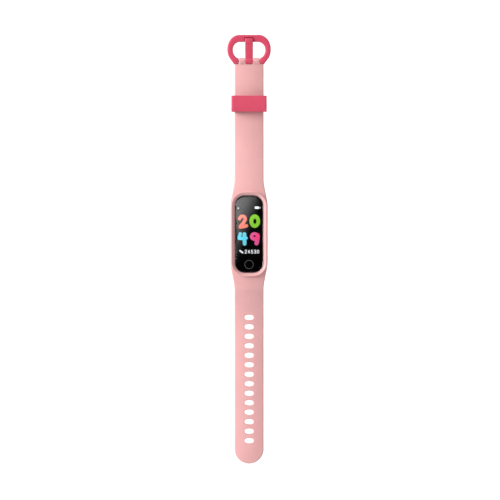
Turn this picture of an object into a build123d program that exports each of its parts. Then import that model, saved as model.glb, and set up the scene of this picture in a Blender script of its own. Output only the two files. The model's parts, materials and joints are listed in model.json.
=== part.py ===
from build123d import *
import os

# Fitness tracker band, laid open on a table: a sealed tracker capsule held by the cradle of a
# one-piece silicone band, with a buckle at the +Y end and adjustment holes towards -Y.
# Units are millimetres. +Z is up, the screen faces +Z and the wrist side rests on z = 0.
# The origin is under the middle of the capsule. The silicone flexes in the real band; here
# each strap is cut into links that hinge about lines on its wrist side.

# ---- driving dimensions: band --------------------------------------------------------------
STRAP_WIDTH = 13.1
STRAP_THICK = 2.0
FLAT_Y = 44.0            # the strap lies flat from here outwards
CREASE_Y = 24.9          # end of the stiff shoulder beside the cradle
TIP_Y = 103.2            # tail tip, measured from the origin
HOLE_PITCH = 4.265
HOLE_COUNT = 14
FIRST_HOLE_Y = 37.4
HOLE_LENGTH = 4.0        # across the strap
HOLE_WIDTH = 2.3         # along the strap
HOLES_PER_LINK = 2
LINK_GAP = 0.06
TAIL_FLOOR = 0.0         # underside of the flat tail
BUCKLE_FLOOR = 1.0       # the keeper's lower wall lifts the buckle strap by this much

LINK_PITCH = HOLES_PER_LINK * HOLE_PITCH
FIRST_HINGE_Y = FIRST_HOLE_Y - HOLE_PITCH / 2 - LINK_PITCH
TAIL_LINKS = 9
BUCKLE_LINKS = 4

# ---- driving dimensions: cradle ------------------------------------------------------------
CRADLE_WIDTH = 16.75
CRADLE_LENGTH = 38.4
CRADLE_CORNER = 7.6
CRADLE_FLOOR = 1.4
RIM_TOP = 10.4
LIP_FLOOR = 8.7          # underside of the lip that holds the capsule down
LIP_BEVEL_START = 9.3
LIP_BEVEL = 1.2
SHOULDER_TOP = 9.0       # top of the strap where it leaves the rim
CREASE_TOP = 7.6
SHOULDER_UNDER = 4.6
CREASE_UNDER = 3.9
FLARE_START_Y = 12.0     # the band is as wide as the cradle up to here
FLARE_END_Y = 25.0

# ---- driving dimensions: capsule -----------------------------------------------------------
CASE_WIDTH = 14.0
CASE_LENGTH = 35.8
CASE_CORNER = 6.4
CASE_WALL = 0.9
CASE_FLOOR = 0.8         # underside of the lower case, above the table
FLOOR_THICK = 0.9
CASE_SPLIT = 4.6
CASE_TOP = 8.6
POCKET_GAP = 0.15
GLASS_WIDTH = 12.4
GLASS_LENGTH = 34.4
GLASS_CORNER = 4.3
GLASS_TOP = 9.9
GLASS_UNDER = 8.7
DISPLAY_WIDTH = 11.2
DISPLAY_LENGTH = 25.2
DISPLAY_Y = 1.9
TOUCH_Y = -13.6

# ---- driving dimensions: buckle ------------------------------------------------------------
PIN_Y = 77.8
PIN_Z = BUCKLE_FLOOR + STRAP_THICK / 2
PIN_RADIUS = 0.6
RUNNING_GAP = 0.05
KNUCKLE_RADIUS = 1.5
SHOULDER_Y = 76.1        # end of the full-width buckle strap
EAR_INNER_X = 4.62
FRAME_TOP_Y = 89.6
FRAME_THICK = 2.6
TONGUE_WIDTH = 3.55
KEEPER_Y = 58.6
KEEPER_LENGTH = 7.2
KEEPER_WIDTH = 15.9
KEEPER_WALL = 0.9

parts = {}


# ---- shared shapes -------------------------------------------------------------------------
def slab(width, length, z_low, z_high, x=0, y=0, corner=0.0):
    """A flat plate with rounded corners, centred on x, y."""
    outline = RectangleRounded(width, length, corner) if corner else Rectangle(width, length)
    return Pos(x, y, z_low) * extrude(outline, z_high - z_low)


def disc(radius, z_low, z_high, x=0, y=0):
    """An upright round plate or post."""
    return Pos(x, y, z_low) * extrude(Circle(radius), z_high - z_low)


def cross_rod(radius, half_length, y=PIN_Y, z=PIN_Z, x=0.0):
    """A round bar along X."""
    return Plane.YZ.offset(x - half_length) * Pos(y, z) * extrude(Circle(radius), 2 * half_length)


def side_prism(outline, half_width=12.0):
    """A side view in Y and Z, given as edges, stretched along X."""
    face = Plane.YZ * make_face(outline)
    return extrude(face, half_width, both=True)


def case_slab(inset, z_low, z_high):
    """The capsule's plan shape, moved inwards by inset."""
    return slab(
        CASE_WIDTH - 2 * inset, CASE_LENGTH - 2 * inset, z_low, z_high, corner=CASE_CORNER - inset
    )


# ---- silicone band -------------------------------------------------------------------------
def fall(y, high, low, power):
    """Height of the strap between the crease and the flat stretch: steep first, then level."""
    share = (FLAT_Y - y) / (FLAT_Y - CREASE_Y)
    return low + (high - low) * share**power


def top_height(y, floor):
    return fall(y, CREASE_TOP, floor + STRAP_THICK, 1.8)


def under_height(y, floor):
    return fall(y, CREASE_UNDER, floor, 1.6)


def half_width(y):
    """Half the band's width: the cradle's, easing down to the strap's."""
    share = (FLARE_END_Y - y) / (FLARE_END_Y - FLARE_START_Y)
    ease = share * share * (3 - 2 * share)
    return STRAP_WIDTH / 2 + (CRADLE_WIDTH - STRAP_WIDTH) / 2 * ease


def strap_half(end_y, floor):
    """One strap with its shoulder, pointing towards +Y, before it is cut into links."""
    inner_y = CRADLE_LENGTH / 2 - 3.0
    steps = 5
    slope_y = [CREASE_Y + (FLAT_Y - CREASE_Y) * i / steps for i in range(steps + 1)]
    under = [(y, under_height(y, floor)) for y in slope_y]
    over = [(y, top_height(y, floor)) for y in slope_y]
    side = side_prism([
        Polyline((inner_y, SHOULDER_TOP), (inner_y, SHOULDER_UNDER),
                 (CRADLE_LENGTH / 2, SHOULDER_UNDER), under[0]),
        Spline(*under),
        Polyline(under[-1], (end_y, floor), (end_y, floor + STRAP_THICK), over[-1]),
        Spline(*over[::-1]),
        Polyline(over[0], (CRADLE_LENGTH / 2, SHOULDER_TOP), (inner_y, SHOULDER_TOP)),
    ])
    steps = 4
    flare_y = [FLARE_START_Y + (FLARE_END_Y - FLARE_START_Y) * i / steps for i in range(steps + 1)]
    right = [(half_width(y), y) for y in flare_y]
    left = [(-x, y) for x, y in right]
    plan = make_face([
        Spline(*right),
        Polyline(right[-1], (STRAP_WIDTH / 2, end_y), (-STRAP_WIDTH / 2, end_y), left[-1]),
        Spline(*left[::-1]),
        Line(left[0], right[0]),
    ])
    return side & extrude(plan, RIM_TOP)


def between(solid, y_low, y_high):
    """The stretch of a strap from y_low to y_high."""
    height = 2 * RIM_TOP
    return solid & slab(30, y_high - y_low, -height, height, y=(y_low + y_high) / 2)


def hinge_y(index):
    return FIRST_HINGE_Y + index * LINK_PITCH


def hole_cutter(y):
    """One adjustment hole: a slot with round ends, across the strap."""
    return Pos(0, y, -1) * extrude(SlotOverall(HOLE_LENGTH, HOLE_WIDTH), 5)


def make_straps():
    """Both straps, each cut into links. Returns the two roots, which belong to the cradle."""
    buckle_side = strap_half(SHOULDER_Y, BUCKLE_FLOOR)
    tail_side = strap_half(TIP_Y, TAIL_FLOOR)
    tip_centre = TIP_Y - STRAP_WIDTH / 2
    beyond_tip = slab(30, STRAP_WIDTH, -1, 6, y=tip_centre + STRAP_WIDTH / 2)
    tail_side -= beyond_tip - disc(STRAP_WIDTH / 2, -1, 6, y=tip_centre)
    for i in range(HOLE_COUNT):
        tail_side -= hole_cutter(FIRST_HOLE_Y + i * HOLE_PITCH)
    for side, count, end_y, name in (
        (buckle_side, BUCKLE_LINKS, SHOULDER_Y, "buckle_strap_link"),
        (tail_side, TAIL_LINKS, TIP_Y, "tail_strap_link"),
    ):
        for i in range(count):
            last = i == count - 1
            y_high = end_y + 1 if last else hinge_y(i + 1) - LINK_GAP / 2
            link = between(side, hinge_y(i) + LINK_GAP / 2, y_high)
            parts[f"{name}_{i + 1}"] = link
    last_link = f"buckle_strap_link_{BUCKLE_LINKS}"
    parts[last_link] = add_knuckles(parts[last_link])
    for i in range(TAIL_LINKS):
        name = f"tail_strap_link_{i + 1}"
        parts[name] = parts[name].mirror(Plane.XZ)
    roots = [between(side, 0, FIRST_HINGE_Y - LINK_GAP / 2) for side in (buckle_side, tail_side)]
    return roots[0], roots[1].mirror(Plane.XZ)


def add_knuckles(link):
    """Two silicone knuckles either side of the tongue, round the buckle pin."""
    inner_x = TONGUE_WIDTH / 2 + 0.1
    outer_x = EAR_INNER_X - 0.1
    width = outer_x - inner_x
    for side in (-1, 1):
        x = side * (inner_x + outer_x) / 2
        neck = slab(width, PIN_Y - SHOULDER_Y + 0.5, BUCKLE_FLOOR, BUCKLE_FLOOR + STRAP_THICK,
                    x=x, y=(PIN_Y + SHOULDER_Y - 0.5) / 2)
        link += neck + cross_rod(KNUCKLE_RADIUS, width / 2, x=x)
    return link - cross_rod(PIN_RADIUS + RUNNING_GAP, STRAP_WIDTH)


def make_cradle(root_a, root_b):
    """The cradle: a thick silicone ring round the capsule, with a lip over its top edge."""
    ring = slab(CRADLE_WIDTH, CRADLE_LENGTH, CRADLE_FLOOR, RIM_TOP, corner=CRADLE_CORNER)
    ring = fillet(ring.faces().sort_by(Axis.Z)[-1].edges(), 0.75)
    ring = fillet(ring.faces().sort_by(Axis.Z)[0].edges(), 0.9)
    pocket = slab(CASE_WIDTH + 2 * POCKET_GAP, CASE_LENGTH + 2 * POCKET_GAP, -1, LIP_FLOOR,
                  corner=CASE_CORNER + POCKET_GAP)
    window_size = (GLASS_WIDTH + 0.3, GLASS_LENGTH + 0.3, GLASS_CORNER + 0.15)
    window = slab(window_size[0], window_size[1], LIP_FLOOR - 1, RIM_TOP + 1, corner=window_size[2])
    mouth = loft([
        Pos(0, 0, LIP_BEVEL_START) * RectangleRounded(*window_size),
        Pos(0, 0, RIM_TOP) * RectangleRounded(*(s + grow * LIP_BEVEL for s, grow
                                                in zip(window_size, (2, 2, 1)))),
    ])
    parts["band_cradle"] = ring + root_a + root_b - pocket - window - mouth


def make_keeper():
    """The free loop that tucks the tail in: a square-cornered ring for two strap layers."""
    inner_height = 2 * STRAP_THICK + 0.4
    outer = slab(KEEPER_WIDTH, KEEPER_LENGTH, 0, inner_height + 2 * KEEPER_WALL, y=KEEPER_Y)
    outer = fillet(outer.edges().filter_by(Axis.Y), 0.7)
    inner = slab(STRAP_WIDTH + 0.4, KEEPER_LENGTH + 2, KEEPER_WALL, KEEPER_WALL + inner_height,
                 y=KEEPER_Y)
    loop = outer - inner
    ends = (KEEPER_Y - KEEPER_LENGTH / 2, KEEPER_Y + KEEPER_LENGTH / 2)
    mouth_edges = [e for e in loop.edges() if min(abs(e.center().Y - y) for y in ends) < 0.01]
    parts["keeper_loop"] = fillet(mouth_edges, 0.25)


# ---- buckle --------------------------------------------------------------------------------
def mirrored(edges):
    """Half an outline and its mirror image in X."""
    return edges + [edge.mirror(Plane.YZ) for edge in edges]


def make_buckle():
    """D-shaped frame, steel pin and tongue."""
    ear_x, ear_y = 6.68, PIN_Y - KNUCKLE_RADIUS
    outline = make_face(mirrored([
        Line((0, FRAME_TOP_Y), (4.4, FRAME_TOP_Y)),
        ThreePointArc((4.4, FRAME_TOP_Y), (8.25, 87.75), (9.8, 83.3)),
        ThreePointArc((9.8, 83.3), (9.62, 81.2), (8.95, 79.4)),
        Polyline((8.95, 79.4), (ear_x, ear_y), (EAR_INNER_X, ear_y), (EAR_INNER_X, 78.9)),
        ThreePointArc((EAR_INNER_X, 78.9), (6.5, 80.2), (7.25, 82.2)),
        Line((7.25, 82.2), (7.25, 83.1)),
        ThreePointArc((7.25, 83.1), (6.27, 85.43), (3.9, 86.4)),
        Line((3.9, 86.4), (0, 86.4)),
    ]))
    plate = Pos(0, 0, PIN_Z - FRAME_THICK / 2) * extrude(outline, FRAME_THICK)
    plate -= slab(30, 10, -5, 10, y=PIN_Y - 5)
    ears = extrude(outline, 8) & cross_rod(KNUCKLE_RADIUS, 9)
    notch = slab(TONGUE_WIDTH + 0.4, 2.3, PIN_Z + 0.4, 9, y=87.25)
    parts["buckle_frame"] = plate + ears - notch - cross_rod(PIN_RADIUS, 6.2)
    parts["buckle_pin"] = cross_rod(PIN_RADIUS, 6.2)

    low, high, thick = PIN_Z - 0.2, PIN_Z + 0.5, 1.3
    step_start, step_end, tip_y = 82.3, 85.4, 88.15
    bar = side_prism([Polyline(
        (PIN_Y, low), (step_start, low), (step_end, high), (tip_y, high), (tip_y, high + thick),
        (step_end, high + thick), (step_start, low + thick), (PIN_Y, low + thick), close=True,
    )], TONGUE_WIDTH / 2)
    bar = fillet(bar.edges().filter_by(Axis.X).group_by(Axis.Y)[-1], 0.35)
    eye = cross_rod(KNUCKLE_RADIUS, TONGUE_WIDTH / 2)
    tongue = bar + eye - cross_rod(PIN_RADIUS + RUNNING_GAP, 6)
    clear_of_eye = PIN_Y + KNUCKLE_RADIUS + 0.2
    long_edges = [e for e in tongue.edges()
                  if abs(abs(e.center().X) - TONGUE_WIDTH / 2) < 0.01 and e.center().Y > clear_of_eye]
    parts["buckle_tongue"] = fillet(long_edges, 0.3)


# ---- capsule: casings ----------------------------------------------------------------------
SCREW_X, SCREW_Y = 3.6, 15.3
BOSS_FOOT, BOSS_HEAD = 2.6, 7.3
CONTACT_X, CONTACT_Y = 2.2, -13.2
MOTOR_Y = -8.1
BOARD_LOW, BOARD_HIGH = 5.6, 6.4
BOARD_WIDTH, BOARD_LENGTH = 11.4, 27.6
SENSOR_BOARD_HIGH = 2.2
DISPLAY_UNDER = 7.4


def at_corners(solid):
    """Four copies of a solid, at the screw positions."""
    return [Pos(sx * SCREW_X, sy * SCREW_Y, 0) * solid for sx in (-1, 1) for sy in (-1, 1)]


def at_contacts(solid):
    return [Pos(side * CONTACT_X, CONTACT_Y, 0) * solid for side in (-1, 1)]


def make_casings():
    """Upper and lower case, the seal in their joint, and the four screws."""
    floor_top = CASE_FLOOR + FLOOR_THICK
    seal_low, seal_high = CASE_SPLIT - 0.35, CASE_SPLIT + 0.35
    seal = case_slab(0.45, seal_low, seal_high) - case_slab(CASE_WALL, seal_low, seal_high)

    upper = case_slab(0, CASE_SPLIT, CASE_TOP) - case_slab(CASE_WALL, 0, CASE_TOP - 0.6)
    upper -= slab(DISPLAY_WIDTH + 0.1, GLASS_LENGTH - 1.6, 0, 10, corner=2.6)
    boss = disc(1.15, BOSS_FOOT, BOSS_HEAD) - disc(0.45, 2, BOSS_HEAD - 0.7)
    inside = case_slab(CASE_WALL + 0.05, BOSS_FOOT, CASE_SPLIT) + case_slab(0, CASE_SPLIT, CASE_TOP)
    bosses = [solid & inside for solid in at_corners(boss)]
    parts["upper_case"] = upper + bosses - seal

    lower = case_slab(0, CASE_FLOOR, CASE_SPLIT)
    lower = fillet(lower.faces().sort_by(Axis.Z)[0].edges(), 0.5)
    lower -= case_slab(CASE_WALL, floor_top, CASE_SPLIT + 1)
    lower += slab(10.6, 13.0, 0.1, CASE_FLOOR + 0.1, corner=3.0)
    lower -= slab(8.0, 10.0, -1, floor_top + 1, corner=2.2)
    lower = lower - seal - at_contacts(disc(1.0, 0, 3))
    lower += at_corners(disc(1.15, floor_top - 0.1, BOSS_FOOT))
    screw = disc(0.95, 1.0, 1.45) + disc(0.45, 1.45, 5.2)
    drive = Pos(0, 0, 0.9) * extrude(Rectangle(1.1, 0.22) + Rectangle(0.22, 1.1), 0.35)
    parts["lower_case"] = lower - at_corners(disc(0.95, 0, 1.45) + disc(0.45, 0, 3))
    parts["case_seal"] = seal
    parts["case_screws"] = Compound(children=at_corners(screw - drive))


def make_glass():
    """Cover glass with rounded front edges, and the adhesive frame under its border."""
    glass = slab(GLASS_WIDTH, GLASS_LENGTH, GLASS_UNDER, GLASS_TOP, corner=GLASS_CORNER)
    parts["cover_glass"] = fillet(glass.faces().sort_by(Axis.Z)[-1].edges(), 0.55)
    outer = slab(GLASS_WIDTH - 0.2, GLASS_LENGTH - 0.2, CASE_TOP, GLASS_UNDER, corner=4.2)
    inner = slab(DISPLAY_WIDTH + 0.2, GLASS_LENGTH - 1.4, 8, 9, corner=3.5)
    parts["glass_adhesive"] = outer - inner


# ---- capsule: screen and touch key ---------------------------------------------------------
def make_display():
    """Liquid-crystal panel, its backlight, the folded ribbon and the ribbon's socket."""
    panel_under = 8.0
    end_y = DISPLAY_Y - DISPLAY_LENGTH / 2
    parts["lcd_panel"] = slab(DISPLAY_WIDTH, DISPLAY_LENGTH, panel_under, GLASS_UNDER, y=DISPLAY_Y,
                              corner=0.5)
    parts["backlight_unit"] = slab(DISPLAY_WIDTH, DISPLAY_LENGTH, DISPLAY_UNDER, panel_under,
                                   y=DISPLAY_Y, corner=0.5)
    socket_high = BOARD_HIGH + 0.6
    parts["display_socket"] = slab(7.6, 1.8, BOARD_HIGH, socket_high, y=end_y + 1.6)
    thick, bend_y = 0.12, end_y - 0.25
    high, low = panel_under + 0.3, socket_high + thick
    middle, radius = (high + low) / 2, (high - low) / 2
    inside = radius - thick
    ribbon = side_prism([
        Line((end_y, high), (bend_y, high)),
        ThreePointArc((bend_y, high), (bend_y - radius, middle), (bend_y, low)),
        Polyline((bend_y, low), (end_y + 2.4, low), (end_y + 2.4, low + thick),
                 (bend_y, low + thick)),
        ThreePointArc((bend_y, low + thick), (bend_y - inside, middle), (bend_y, high - thick)),
        Polyline((bend_y, high - thick), (end_y, high - thick), (end_y, high)),
    ], 3.5)
    parts["display_ribbon"] = ribbon


def make_touch_key():
    """Touch pad bonded under the glass, and the conductive foam that joins it to the board."""
    pad_under = GLASS_UNDER - 0.15
    parts["touch_pad"] = disc(2.0, pad_under, GLASS_UNDER, y=TOUCH_Y)
    parts["touch_foam"] = slab(2.2, 2.0, BOARD_HIGH, pad_under, y=-12.7)


# ---- capsule: electronics ------------------------------------------------------------------
def make_boards():
    """Main board with its chips, and the pulse sensor board behind the wrist-side window."""
    board = slab(BOARD_WIDTH, BOARD_LENGTH, BOARD_LOW, BOARD_HIGH, corner=1.0)
    board -= at_corners(disc(1.45, 0, 9))
    parts["main_board"] = board - at_contacts(disc(0.5, 0, 9))
    for name, size_x, size_y, high, x, y in (
        ("processor_chip", 5.0, 5.0, 0.75, 0.0, 4.5),
        ("memory_chip", 3.0, 2.6, 0.6, -3.6, -1.0),
        ("motion_sensor_chip", 2.0, 2.0, 0.7, 3.6, -1.2),
        ("crystal", 2.0, 1.6, 0.5, 4.2, 4.0),
        ("charger_chip", 1.8, 1.8, 0.6, 0.0, 10.2),
        ("chip_antenna", 3.2, 1.6, 1.1, 3.4, -12.6),
    ):
        parts[name] = slab(size_x, size_y, BOARD_HIGH, BOARD_HIGH + high, x=x, y=y)

    board_low, led_low, lens_top = CASE_FLOOR + FLOOR_THICK, 1.1, 0.8
    parts["sensor_board"] = slab(9.4, 11.4, board_low, SENSOR_BOARD_HIGH, corner=1.0)
    leds = [slab(1.6, 1.4, led_low, board_low, y=y) for y in (-3.4, 3.4)]
    parts["pulse_leds"] = Compound(children=leds)
    parts["light_sensor"] = slab(2.4, 2.4, led_low, board_low)
    wall = slab(7.0, 4.2, lens_top, board_low) - slab(5.6, 3.0, 0, 3)
    parts["light_barrier"] = wall
    parts["sensor_window"] = slab(7.8, 9.8, 0, lens_top, corner=2.1)


def make_battery():
    """Lithium pouch cell between its foam pad and its tape, with two leads to the board."""
    width, y_low, y_high = 10.2, -3.2, 13.4
    length, middle = y_high - y_low, (y_high + y_low) / 2
    low, high = 2.5, 5.35
    cell = slab(width, length, low, high, y=middle, corner=0.8)
    parts["battery"] = fillet(cell.edges().filter_by(Plane.XY), 0.4)
    parts["battery_foam"] = slab(width - 1.2, 8.0, SENSOR_BOARD_HIGH, low, y=1.0)
    parts["battery_tape"] = slab(width - 2.0, length - 3.0, high, BOARD_LOW, y=middle)
    lead = battery_lead(y_low, (low + high) / 2)
    parts["battery_leads"] = Compound(children=[Pos(x, 0, 0) * lead for x in (-4.3, 4.3)])


def battery_lead(start_y, start_z):
    """One insulated wire: out of the cell's end, then up to the underside of the board."""
    bend = 0.7
    route = Plane.YZ * Wire([
        Line((start_y, start_z), (start_y - 0.2, start_z)),
        ThreePointArc(
            (start_y - 0.2, start_z),
            (start_y - 0.2 - bend * 0.7071, start_z + bend * 0.2929),
            (start_y - 0.2 - bend, start_z + bend),
        ),
        Line((start_y - 0.2 - bend, start_z + bend), (start_y - 0.2 - bend, BOARD_LOW)),
    ])
    return sweep(Plane((0, start_y, start_z), z_dir=(0, -1, 0)) * Circle(0.28), path=route)


def make_motor():
    """Coin vibration motor: a can with a fixed shaft, and the off-centre rotor inside it."""
    low, high, radius, wall = 2.25, 4.85, 3.3, 0.25
    can = disc(radius, low, high, y=MOTOR_Y) - disc(radius - wall, low + wall, high - wall, y=MOTOR_Y)
    parts["motor_can"] = can + disc(0.35, low, high, y=MOTOR_Y)
    gap = 0.3
    hub = disc(1.0, low + wall + gap, high - wall - gap)
    weight = disc(radius - wall - gap, low + wall + gap, high - wall - gap)
    weight &= slab(10, 5, 0, 9, y=2.5)
    parts["motor_rotor"] = Pos(0, MOTOR_Y, 0) * (hub + weight - disc(0.35 + RUNNING_GAP, 0, 9))


def make_charging_contacts():
    """Two gilded pads on the wrist side, each with a post up to the main board."""
    contact = disc(1.0, 0.75, 2.1) + disc(0.5, 2.1, BOARD_HIGH)
    parts["charging_contacts"] = Compound(children=at_contacts(contact))


make_cradle(*make_straps())
make_keeper()
make_buckle()
make_casings()
make_glass()
make_display()
make_touch_key()
make_boards()
make_battery()
make_motor()
make_charging_contacts()

os.makedirs("parts", exist_ok=True)
for name, shape in parts.items():
    shape.label = name
    export_step(shape, f"parts/{name}.step")
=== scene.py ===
import json
import math

import bmesh
import bpy
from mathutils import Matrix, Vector


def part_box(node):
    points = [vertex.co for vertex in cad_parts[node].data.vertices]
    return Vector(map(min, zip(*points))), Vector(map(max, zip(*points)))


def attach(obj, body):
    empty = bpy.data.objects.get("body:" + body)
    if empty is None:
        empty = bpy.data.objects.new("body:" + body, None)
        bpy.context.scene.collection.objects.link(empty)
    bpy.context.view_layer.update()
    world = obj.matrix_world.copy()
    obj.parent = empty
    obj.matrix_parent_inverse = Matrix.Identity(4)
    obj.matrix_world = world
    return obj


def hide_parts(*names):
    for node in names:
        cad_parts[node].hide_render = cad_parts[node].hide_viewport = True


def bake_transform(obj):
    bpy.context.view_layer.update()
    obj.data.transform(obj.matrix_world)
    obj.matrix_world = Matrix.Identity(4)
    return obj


# Fitness tracker band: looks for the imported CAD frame. Shapes are worked out in millimetres and
# turned to metres when a mesh is made. +Y runs to the buckle, -Y to the tail, +Z is up.

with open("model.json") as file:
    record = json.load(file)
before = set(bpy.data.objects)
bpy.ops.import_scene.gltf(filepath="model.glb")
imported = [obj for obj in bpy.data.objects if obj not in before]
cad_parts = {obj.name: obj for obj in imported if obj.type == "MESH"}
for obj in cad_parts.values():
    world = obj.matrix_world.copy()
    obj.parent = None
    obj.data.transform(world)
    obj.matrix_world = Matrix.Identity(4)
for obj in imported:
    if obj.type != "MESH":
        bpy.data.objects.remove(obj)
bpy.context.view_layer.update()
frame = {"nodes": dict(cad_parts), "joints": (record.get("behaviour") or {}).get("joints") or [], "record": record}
MM = 0.001


# ---- sizes read from the frame -------------------------------------------------------------
def box_mm(node):
    """A node's lowest and highest corners, in millimetres."""
    low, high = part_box(node)
    return [v / MM for v in low], [v / MM for v in high]


def hinge_heights(name):
    """Y and Z of each strap hinge, from the cradle outwards."""
    rows = [j["pos_m"] for j in frame["joints"] if j["name"].startswith(name)]
    return [(abs(y) / MM, z / MM) for _, y, z in rows]


TAIL_HINGES = hinge_heights("tail_strap_bend")
BUCKLE_HINGES = hinge_heights("buckle_strap_bend")
HALF_LINK = (TAIL_HINGES[1][0] - TAIL_HINGES[0][0]) / 2
STRAP_HALF = box_mm("tail_strap_link_5")[1][0]
STRAP_THICK = box_mm("tail_strap_link_5")[1][2]
TIP_Y = -box_mm("tail_strap_link_9")[0][1]
TAIL_FLOOR = box_mm("tail_strap_link_5")[0][2]
BUCKLE_FLOOR = box_mm("keeper_loop")[0][2] + 1.0
CRADLE_HALF = box_mm("band_cradle")[1][0]
CRADLE_FLOOR = box_mm("band_cradle")[0][2]
RIM_TOP = box_mm("band_cradle")[1][2]
GLASS_UNDER = box_mm("cover_glass")[0][2]
GLASS_TOP = box_mm("cover_glass")[1][2]

# ---- sizes that the CAD and this script share ----------------------------------------------
CRADLE_END_Y = 19.2
CRADLE_CORNER = 7.6
FLAT_Y, CREASE_Y = 44.0, 24.9
SHOULDER_TOP, CREASE_TOP = 9.0, 7.6
SHOULDER_UNDER, CREASE_UNDER = 4.6, 3.9
FLARE_START_Y, FLARE_END_Y = 12.0, 25.0
POCKET = (7.15, 18.05, 6.55)         # half width, half length, corner radius
WINDOW = (6.35, 17.35, 4.45)
GLASS = (6.2, 17.2, 4.3)
LIP_FLOOR = 8.7
SHOULDER_Y = 76.1
PIN_Y, PIN_Z, KNUCKLE_RADIUS = 77.8, 2.0, 1.5
BORE_RADIUS = 0.65       # 0.05 mm of running clearance round the pin
EAR_INNER_X = 4.62
TONGUE_HALF = 1.775
SCREEN_Y = 1.9
TOUCH_Y = -13.6

# ---- strap details that only the looks need ------------------------------------------------
CORE_HALF = 3.0          # half the middle strip, which the holes are cut in
CORE_COLUMNS = 12
ROWS_PER_HOLE = 6
HOLE_PITCH = HALF_LINK
HOLE_COUNT = 14
HOLE_HALF, HOLE_RADIUS = 2.0, 1.15
HOLE_EDGE = 0.22         # rounding at a hole's rim
SIDE_EDGE = 0.7          # rounding along the strap's sides
CROWN = 0.75             # how far the strap's middle stands above its sides


# ---- mesh helpers --------------------------------------------------------------------------
def new_object(name, shape, material, body=None, smooth=40.0):
    """A mesh object from (points, faces) in millimetres, smooth except at sharper angles."""
    points, faces = shape
    mesh = bpy.data.meshes.new(name)
    mesh.from_pydata([(x * MM, y * MM, z * MM) for x, y, z in points], [], faces)
    work = bmesh.new()
    work.from_mesh(mesh)
    bmesh.ops.remove_doubles(work, verts=work.verts, dist=0.003 * MM)
    bmesh.ops.dissolve_degenerate(work, edges=work.edges, dist=0.001 * MM)
    bmesh.ops.recalc_face_normals(work, faces=work.faces)
    work.to_mesh(mesh)
    work.free()
    mesh.polygons.foreach_set("use_smooth", [True] * len(mesh.polygons))
    mesh.set_sharp_from_angle(angle=math.radians(smooth))
    mesh.materials.append(material)
    piece = bpy.data.objects.new(name, mesh)
    bpy.context.scene.collection.objects.link(piece)
    if body:
        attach(piece, body)
    return piece


def skin(loops, wrap=False, caps=False):
    """Quads between closed loops of equal length. wrap joins last to first, caps fills both."""
    size = len(loops[0])
    points = [p for loop in loops for p in loop]
    faces = []
    for row in range(len(loops) if wrap else len(loops) - 1):
        a, b = row * size, (row + 1) % len(loops) * size
        for i in range(size):
            j = (i + 1) % size
            faces.append((a + i, a + j, b + j, b + i))
    if caps:
        last = (len(loops) - 1) * size
        faces.append(tuple(range(size)))
        faces.append(tuple(range(last, last + size)))
    return points, faces


def sheet_between(rows):
    """Quads between open rows of equal length."""
    size = len(rows[0])
    points = [p for row in rows for p in row]
    faces = []
    for row in range(len(rows) - 1):
        for i in range(size - 1):
            a = row * size + i
            faces.append((a, a + 1, a + size + 1, a + size))
    return points, faces


def joined(*shapes):
    """Several (points, faces) sets as one."""
    points, faces = [], []
    for some_points, some_faces in shapes:
        start = len(points)
        points += some_points
        faces += [tuple(start + i for i in face) for face in some_faces]
    return points, faces


def mix(a, b, share):
    """The value at a share of the way from a to b."""
    return a + (b - a) * share


def ease(share):
    """A share that starts and stops gently, held between 0 and 1."""
    share = min(1.0, max(0.0, share))
    return share * share * (3 - 2 * share)


def quadratic(a, b, c, share):
    """The point at a share of the way along a curve from a to c, pulled towards b."""
    return tuple(mix(mix(p, q, share), mix(q, r, share), share) for p, q, r in zip(a, b, c))


def spaced(low, high, steps):
    """Evenly spaced values from low to high, both included."""
    return [mix(low, high, i / steps) for i in range(steps + 1)]


def rounded_loop(half_a, half_b, radius, side=14, arc=16, end=8):
    """A rounded rectangle as a closed list of (a, b), with a fixed count of points."""
    quarter = [(half_a, (half_b - radius) * i / side) for i in range(side)]
    for i in range(arc):
        angle = math.pi / 2 * i / arc
        quarter.append((half_a - radius + radius * math.cos(angle),
                        half_b - radius + radius * math.sin(angle)))
    quarter += [((half_a - radius) * (1 - i / end), half_b) for i in range(end)]
    upper = quarter + [(-a, b) for a, b in [*quarter[1:], (0.0, half_b)][::-1]]
    return upper + [(-a, -b) for a, b in upper]


def level(shape, grow, z, y=0.0):
    """A rounded rectangle moved outwards by grow, at height z."""
    half_x, half_y, radius = shape
    loop = rounded_loop(half_x + grow, half_y + grow, max(0.05, radius + grow))
    return [(px, py + y, z) for px, py in loop]


def bevelled_prism(outline, half, inset, x=0.0, steps=3):
    """A side view, as (y, z) points anticlockwise, stretched along X, with rounded edges."""
    count = len(outline)
    normals = []
    for i in range(count):
        before, after = outline[i - 1], outline[(i + 1) % count]
        run = Vector((after[0] - before[0], after[1] - before[1])).normalized()
        normals.append((run.y, -run.x))
    loops = []
    for side in (-1, 1):
        shares = spaced(0, 1, steps)
        for share in shares if side < 0 else shares[::-1]:
            angle = share * math.pi / 2
            pull = inset * (1 - math.sin(angle))
            out = half - inset * (1 - math.cos(angle))
            loops.append([(x + side * out, y - ny * pull, z - nz * pull)
                          for (y, z), (ny, nz) in zip(outline, normals)])
    return skin(loops, caps=True)


def arc_points(centre, radius, start, stop, steps):
    """Points (a, b) on a circle, angles in degrees."""
    angles = [math.radians(a) for a in spaced(start, stop, steps)]
    return [(centre[0] + radius * math.cos(a), centre[1] + radius * math.sin(a)) for a in angles]


def mirror_y(shape):
    """The same shape pointing towards -Y."""
    points, faces = shape
    return [(x, -y, z) for x, y, z in points], faces


# ---- materials -----------------------------------------------------------------------------
def linear(r, g, b):
    """Screen colour, 0 to 255, as the linear colour that shaders take."""
    values = [v / 255 for v in (r, g, b)]
    return [v / 12.92 if v <= 0.04045 else ((v + 0.055) / 1.055) ** 2.4 for v in values]


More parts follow.
